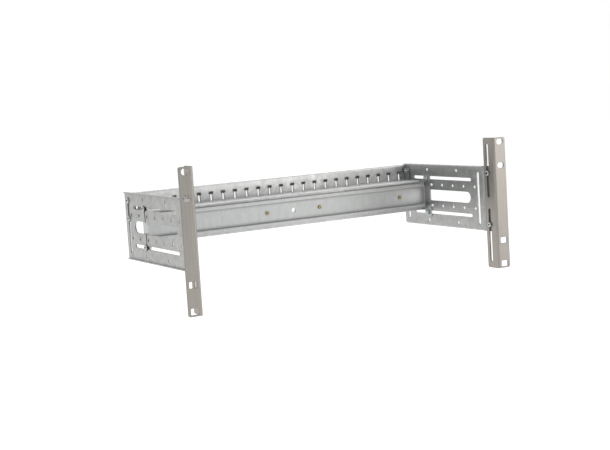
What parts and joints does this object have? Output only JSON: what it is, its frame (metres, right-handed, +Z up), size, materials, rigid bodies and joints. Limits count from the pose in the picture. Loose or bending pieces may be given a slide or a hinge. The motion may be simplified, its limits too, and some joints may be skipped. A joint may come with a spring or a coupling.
{
  "type": "rack-mount DIN rail panel",
  "caption": "Open rack panel with two slotted ears, perforated side plates, a DIN rail on a folded carrier and a cable comb with T slots behind it.",
  "frame": {"origin": "middle of the rack hole pattern, on the rear faces of the two ears, which bear on the rack's uprights", "axes": "+X to the right along the rail, +Y from the front into the rack, +Z up"},
  "size_m": [0.4826, 0.217, 0.177],
  "materials": {
    "ear_steel": "stainless steel, finely brushed along its length",
    "galvanised_sheet": "hot-dip galvanised sheet steel with a fine spangle",
    "rail_steel": "zinc-plated steel, satin",
    "zinc_fasteners": "bright zinc plating, bluish",
    "yellow_screws": "steel with yellow passivated zinc plating"
  },
  "bodies": {
    "root": {"left_rack_ear": "ear_steel", "left_side_plate": "galvanised_sheet", "left_upper_ear_screw": "zinc_fasteners", "left_upper_carrier_screw": "zinc_fasteners", "left_upper_carrier_nut": "zinc_fasteners", "left_upper_comb_screw": "zinc_fasteners", "left_upper_comb_nut": "zinc_fasteners", "left_lower_ear_screw": "zinc_fasteners", "left_lower_carrier_screw": "zinc_fasteners", "left_lower_carrier_nut": "zinc_fasteners", "left_lower_comb_screw": "zinc_fasteners", "left_lower_comb_nut": "zinc_fasteners", "right_rack_ear": "ear_steel", "right_side_plate": "galvanised_sheet", "right_upper_ear_screw": "zinc_fasteners", "right_upper_carrier_screw": "zinc_fasteners", "right_upper_carrier_nut": "zinc_fasteners", "right_upper_comb_screw": "zinc_fasteners", "right_upper_comb_nut": "zinc_fasteners", "right_lower_ear_screw": "zinc_fasteners", "right_lower_carrier_screw": "zinc_fasteners", "right_lower_carrier_nut": "zinc_fasteners", "right_lower_comb_screw": "zinc_fasteners", "right_lower_comb_nut": "zinc_fasteners", "rail_carrier": "galvanised_sheet", "cable_comb": "galvanised_sheet", "din_rail": "rail_steel", "rail_screw_1": "yellow_screws", "rail_screw_2": "yellow_screws", "rail_screw_3": "yellow_screws", "rail_screw_4": "yellow_screws"}
  },
  "joints": []
}
